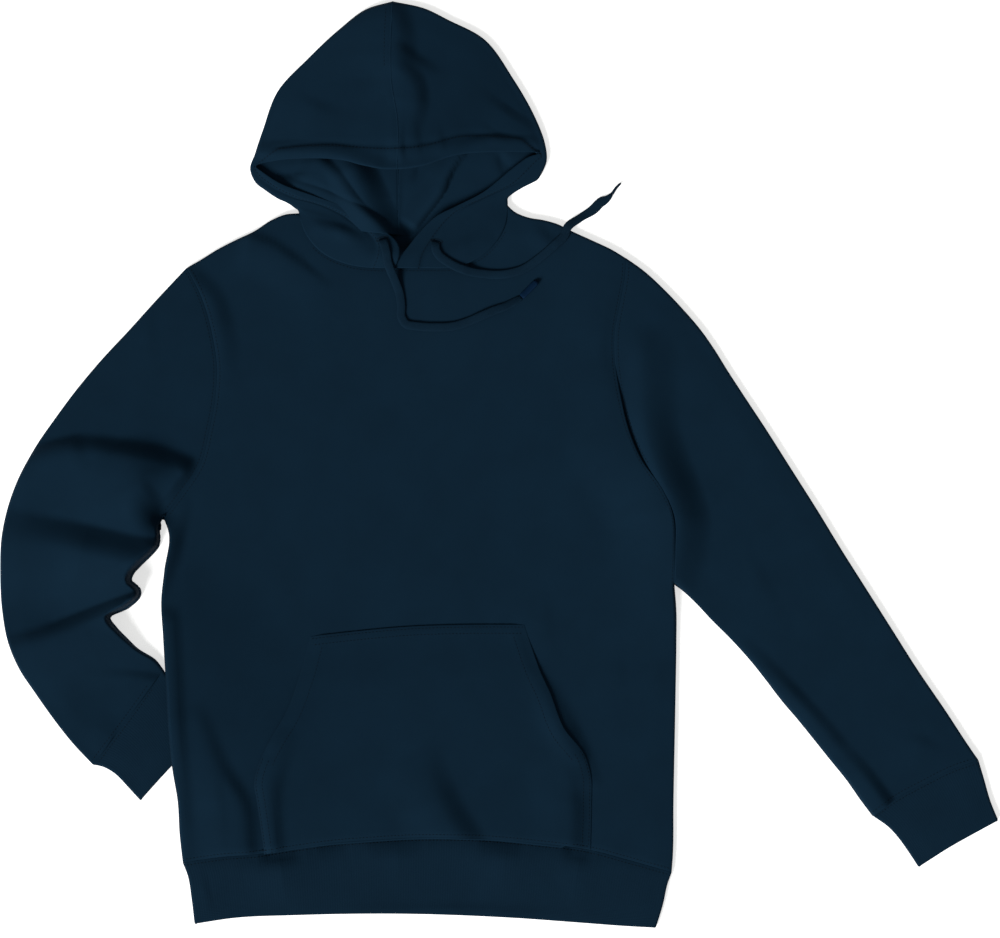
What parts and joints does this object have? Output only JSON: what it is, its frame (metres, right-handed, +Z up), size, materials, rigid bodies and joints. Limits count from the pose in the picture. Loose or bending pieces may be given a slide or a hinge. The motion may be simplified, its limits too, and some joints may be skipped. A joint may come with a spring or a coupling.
{
  "type": "pullover hoodie",
  "caption": "Adult pullover hoodie in navy fleece, laid flat face up, with a kangaroo pocket, ribbed cuffs and waistband, and a hood with a flat drawcord.",
  "frame": {"origin": "the surface that the garment lies on, under the middle of the outline without the cord ends", "axes": "+Z up out of the surface, +Y towards the hood, +X towards the wearer's left sleeve"},
  "size_m": [1.022, 0.948, 0.0342],
  "materials": {
    "fleece": "matt navy brushed-back fleece, fine jersey knit face",
    "rib": "matt navy one-by-one rib knit",
    "cord": "navy flat woven drawcord",
    "blue_tip": "smooth wrapped cord tip with a blue cast",
    "dark_tip": "thin dark cord tip"
  },
  "bodies": {
    "root": {"front_panel": "fleece", "back_panel": "fleece", "sleeve_left": "fleece", "sleeve_right": "fleece", "cuff_left": "rib", "cuff_right": "rib", "waistband": "rib", "pocket": "fleece", "hood_left": "fleece", "hood_right": "fleece", "cord_left": "cord", "cord_right": "cord", "cord_tip_left": "dark_tip", "cord_tip_right": "blue_tip"}
  },
  "joints": []
}
